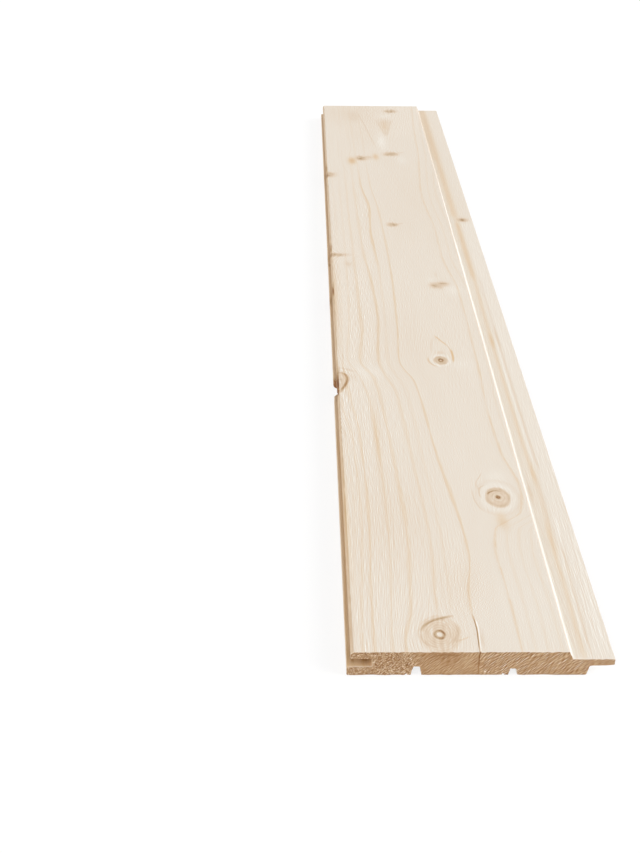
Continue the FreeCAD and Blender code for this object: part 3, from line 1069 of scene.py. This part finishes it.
def cap_points(outline, spacing, random):
    """Points inside an end's outline, on a grid shaken a little, and clear of the outline."""
    low, high = outline.min(0), outline.max(0)
    across = np.arange(low[0] + spacing / 2, high[0], spacing)
    up = np.arange(low[1] + spacing / 2, high[1], spacing)
    grid = np.stack(np.meshgrid(across, up), -1).reshape(-1, 2)
    grid += random.uniform(-0.3, 0.3, grid.shape) * spacing
    start, end = outline, np.roll(outline, -1, axis=0)
    inside = np.zeros(len(grid), bool)
    clear = np.full(len(grid), np.inf)
    for (x0, z0), (x1, z1) in zip(start, end):
        crosses = (z0 > grid[:, 1]) != (z1 > grid[:, 1])
        rise = z1 - z0 if z1 != z0 else 1e-9
        inside ^= crosses & (grid[:, 0] < (x1 - x0) * (grid[:, 1] - z0) / rise + x0)
        way = np.array((x1 - x0, z1 - z0))
        share = np.clip(((grid - (x0, z0)) @ way) / max(way @ way, 1e-9), 0, 1)
        off = grid - (x0, z0) - share[:, None] * way
        clear = np.minimum(clear, np.hypot(off[:, 0], off[:, 1]))
    return grid[inside & (clear > spacing * 0.35)]


def end_cap(ring, y_sign, spacing, random):
    """Extra places and triangles that close one end. Corners 0 to len(ring) - 1 are the ring's own."""
    outline = ring[:, [0, 2]]
    extra = cap_points(outline, spacing, random)
    flat = [Vector(p) for p in np.vstack((outline, extra))]
    made = delaunay_2d_cdt(flat, [], [list(range(len(outline)))], 1, 1e-6)
    source = [ids[0] for ids in made[3]]
    triangles = [[source[i] for i in face][::-y_sign] for face in made[2]]
    depth = np.array([saw_depth(x, z) if y_sign < 0 else FAR_END_DEPTH for x, z in extra])
    return np.column_stack((extra[:, 0], ring[0, 1] - y_sign * depth, extra[:, 1])), triangles


def whole_numbers(triangles, ring_size, ring_start, extra_start):
    """An end's triangles with the numbers that their corners have in the whole mesh."""
    return [[i + ring_start if i < ring_size else i - ring_size + extra_start for i in face]
            for face in triangles]


def saw_depth(x, z):
    """How far the saw went in beyond the end's plane."""
    slant = math.radians(SAW_SLANT_DEG)
    across = -x * math.sin(slant) + z * math.cos(slant)
    slow = noise.noise(Vector((x * 0.08, 0.0, z * 0.12)))
    ridge = noise.noise(Vector((across * 1.1, 5.0, (x + z) * 0.15)))
    torn = noise.noise(Vector((x * 1.7, 9.0, z * 1.7)))
    return max(0.0, SAW_DEPTH + 0.05 * slow + 0.03 * ridge + 0.02 * torn)


def board_mesh():
    """The whole board as one closed mesh, with its bake map and the fields that its materials read."""
    random = np.random.RandomState(SEED)
    columns = section_columns()
    rows = swept_rows(columns)
    row_count, ring_size = rows.shape[:2]
    side_count = row_count * ring_size
    tear_end(rows[0], random)
    near_extra, near_faces = end_cap(rows[0], -1, NEAR_CAP_STEP, random)
    far_extra, far_faces = end_cap(rows[-1], 1, FAR_CAP_STEP, random)
    places = np.vstack((rows.reshape(-1, 3), near_extra, far_extra))
    index = np.arange(side_count).reshape(row_count, ring_size)
    beside = np.roll(index, -1, axis=1)
    quads = np.stack((index[:-1], index[1:], beside[1:], beside[:-1]), -1).reshape(-1, 4)
    near_faces = whole_numbers(near_faces, ring_size, 0, side_count)
    far_faces = whole_numbers(far_faces, ring_size, side_count - ring_size, side_count + len(near_extra))
    mesh = bpy.data.meshes.new("board_wood")
    mesh.from_pydata((places * MM).tolist(), [], quads.tolist() + near_faces + far_faces)
    kinds = np.zeros(len(mesh.polygons), np.int32)
    kinds[len(quads):] = 1
    mesh.polygons.foreach_set("material_index", kinds)
    add_bake_map(mesh, columns, places, len(near_faces))
    number = np.arange(len(places))
    at_near_end = ((number < ring_size) | (number >= side_count)) & (places[:, 1] < 0)
    add_fields(mesh, places, at_near_end)
    return mesh


# The map that the looks are baked through, in pixels: the shelf, bevel and face in two halves, one above
# the other, the other long sides in one strip, then the near end with the far end beside it
MAP_PX = 1024
MAP_GAP = 4
SEEN_SCALE = 2.5
NEAR_END_SCALE = 6.0
FAR_END_SCALE = 2.3


def map_sides(columns, row_y):
    """The map places of the corners of every quad along the sides, and the height that they fill."""
    beside = np.roll(columns, -1, axis=0)
    at = np.concatenate(([0], np.cumsum(np.hypot(*(beside - columns).T))))
    middle_x, middle_z = ((columns + beside) / 2).T
    seen = (middle_z > FACE_Z - 0.01) | (middle_x > FACE_RIGHT) & (middle_z > SHELF_Z - 0.01)
    first, last = np.flatnonzero(seen)[[0, -1]]
    seen_length = at[last + 1] - at[first]
    rest_length = at[-1] - seen_length
    seen_height = 2 * (seen_length * SEEN_SCALE + MAP_GAP)
    room = MAP_PX - seen_height - FACE_Z * NEAR_END_SCALE - 4 * MAP_GAP
    rest_scale = min(room / rest_length, (MAP_PX - 2 * MAP_GAP) / (row_y[-1] - row_y[0]))
    after_seen = np.arange(len(columns)) > last
    rest_start = seen_height - after_seen * (seen_length * rest_scale - MAP_GAP)
    far_half = (row_y[:-1] >= 0)[:, None]
    seen_start = far_half * seen_height / 2
    corners = []
    for y, along in zip((row_y[:-1], row_y[1:], row_y[1:], row_y[:-1]), (at[:-1], at[:-1], at[1:], at[1:])):
        y = y[:, None]
        u = np.where(seen, (y - np.where(far_half, 0, row_y[0])) * SEEN_SCALE, (y - row_y[0]) * rest_scale)
        v = np.where(seen, (along - at[first]) * SEEN_SCALE + seen_start, along * rest_scale + rest_start)
        corners.append(np.stack((u, v), -1))
    return np.stack(corners, 2).reshape(-1, 2), seen_height + rest_length * rest_scale + 2 * MAP_GAP


def add_bake_map(mesh, columns, places, near_count):
    """Gives the mesh a map with the most room for what the photograph shows."""
    sides, height = map_sides(columns, row_places())
    vertex = np.zeros(len(mesh.loops), np.int32)
    mesh.loops.foreach_get("vertex_index", vertex)
    ends = places[vertex[len(sides):]][:, [0, 2]] - (columns[:, 0].min(), 0)
    near = (np.arange(len(ends)) < 3 * near_count)[:, None]
    far_left = MAP_PX - 2 * MAP_GAP - np.ptp(columns[:, 0]) * FAR_END_SCALE
    ends = np.where(near, ends * NEAR_END_SCALE, ends * FAR_END_SCALE + (far_left, 0))
    uv = (np.vstack((sides, ends + (0, height))) + MAP_GAP) / MAP_PX
    mesh.uv_layers.new(name="OFBake").uv.foreach_set("vector", uv.astype(np.float32).ravel())


def add_fields(mesh, places, at_near_end):
    """Stores the growth field, the patches and the strokes with the mesh's points."""
    x, y, z = places.T
    from_face = face_place(x, z)
    aside = pushed_aside(from_face, y)
    grown = np.zeros((5, len(places)))
    for level in np.unique(np.round(y, 2)):
        chosen = np.abs(y - level) <= 0.006
        grown[:4, chosen] = growth_field(from_face[chosen], level)
        grown[4, chosen] = grain_flow(aside[chosen], level)
    past_face = x > FACE_RIGHT + 0.05
    grown[0, past_face] = len(GROWTH_LINES) + 0.5
    grown[4, past_face] = x[past_face] + SHELF_FLOW
    on_shelf = (x > FACE_RIGHT + 1) & (z > SHELF_Z - 1) & (z < SHELF_Z + 0.4)
    band_stain_and_highlight, band_honey = band_field(SHELF_BANDS_AND_HIGHLIGHT, x, y)
    # The patches field also carries painted shade on the left side and in the groove, and the bevel's painted
    # highlight
    patches = patch_field(PATCHES, x, y) * np.exp(-((FACE_Z - z) / PATCH_DEPTH) ** 2) + edge_stain_shade_and_highlight(x, y, z)
    # The shelf's bands bring the painted highlight at the shelf's edge
    patches = np.where(on_shelf, patch_field(SHELF_PATCHES, x, y) + band_stain_and_highlight, patches)
    patches = np.where(at_near_end, patch_field(END_PATCHES, x, z), patches)
    # The honey field carries the painted warm shade of the left side and the groove
    honey = np.where(on_shelf, band_honey, edge_honey_and_warm_shade(x, y, z) + patch_field(HONEY_PATCHES, x, y))
    busy = CALM_TEXTURE + patch_field(BUSY_PATCHES, x, y)
    specks = FEW_SPECKS + patch_field(SPECK_PATCHES, x, y)
    names = ("ring", "ring_gap", "ring_strength", "ring_width", "flow", "patches", "honey", "busy", "specks")
    for name, values in zip(names, (*grown, patches, honey, busy, specks)):
        mesh.attributes.new(name, "FLOAT", "POINT").data.foreach_set("value", values.astype(np.float32))
    stroke = stroke_field(STAIN_SHADE_AND_HIGHLIGHT_STROKES, x, y)
    stroke[1:] *= (z > STROKE_LOW_Z) & ~on_shelf
    stroke = np.where(at_near_end, stroke_field(END_STAIN_AND_SPLIT_SHADE_STROKES, x, z), stroke)
    mesh.attributes.new("stroke", "FLOAT_VECTOR", "POINT").data.foreach_set("vector", stroke.T.ravel())


def add_board():
    """The dressed board, in the place of its CAD node."""
    mesh = board_mesh()
    mesh.materials.append(planed_wood())
    mesh.materials.append(sawn_wood())
    mesh.polygons.foreach_set("use_smooth", np.ones(len(mesh.polygons), bool))
    mesh.set_sharp_from_angle(angle=math.radians(SHARP_DEG))
    mesh.validate()
    piece = bpy.data.objects.new("board_wood", mesh)
    bpy.context.scene.collection.objects.link(piece)
    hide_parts(NODE)
    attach(piece, "root")
    return piece


# Studio


def add_floor():
    """A plain white floor that shows white to the camera and keeps the board's shadow."""
    corners = [(math.cos(a) * FLOOR_RADIUS, math.sin(a) * FLOOR_RADIUS, -FLOOR_GAP)
               for a in np.linspace(0, 2 * math.pi, FLOOR_SIDES, endpoint=False)]
    mesh = bpy.data.meshes.new("floor")
    mesh.from_pydata([tuple(c * MM for c in p) for p in corners], [], [list(range(len(corners)))])
    floor = bpy.data.objects.new("floor", mesh)
    bpy.context.scene.collection.objects.link(floor)
    material = bpy.data.materials.new("white_floor")
    shader = Shader(material)
    path = shader.add("LightPath").outputs
    seen = shader.math("MAXIMUM", path["Is Camera Ray"], path["Is Glossy Ray"])
    seen = shader.math("MAXIMUM", seen, path["Is Transmission Ray"])
    grey = shader.span(seen, 0.0, 1.0, FLOOR_ALBEDO, FLOOR_SEEN_ALBEDO, smooth=False)
    matte = shader.add("BsdfDiffuse", shader.combine(grey, grey, grey))
    glow = shader.add("Emission")
    shader.plug(glow.inputs["Strength"], shader.math("MULTIPLY", seen, FLOOR_GLOW))
    both = shader.add("AddShader", matte.outputs[0], glow.outputs[0])
    shader.plug(shader.output.inputs["Surface"], both.outputs[0])
    mesh.materials.append(material)


def add_light():
    """A white sky, a broad soft lamp from the tongue's side and a weaker one from the groove's."""
    scene = bpy.context.scene
    scene.world = bpy.data.worlds.new("studio")
    shader = Shader(scene.world, "OutputWorld")
    mix = shader.add("MixShader", shader.add("LightPath").outputs["Is Camera Ray"])
    for socket, level in zip(mix.inputs[1:], (SKY_LEVEL, 1.0)):
        ground = shader.add("Background", (1, 1, 1, 1), level)
        shader.plug(socket, ground.outputs[0])
    shader.plug(shader.output.inputs["Surface"], mix.outputs[0])
    for name, level, elevation_deg, azimuth_deg, spread_deg in LAMPS:
        lamp = bpy.data.objects.new(name, bpy.data.lights.new(name, "SUN"))
        elevation, azimuth = math.radians(elevation_deg), math.radians(azimuth_deg)
        lamp.data.energy = level * math.pi / math.sin(elevation)
        lamp.data.angle = math.radians(spread_deg)
        flat = math.cos(elevation)
        towards = Vector((flat * math.cos(azimuth), -flat * math.sin(azimuth), math.sin(elevation)))
        lamp.rotation_mode = "QUATERNION"
        lamp.rotation_quaternion = towards.to_track_quat("Z", "Y")
        scene.collection.objects.link(lamp)
    scene.view_settings.view_transform = "Standard"


add_camera()
add_light()
add_floor()
add_board()
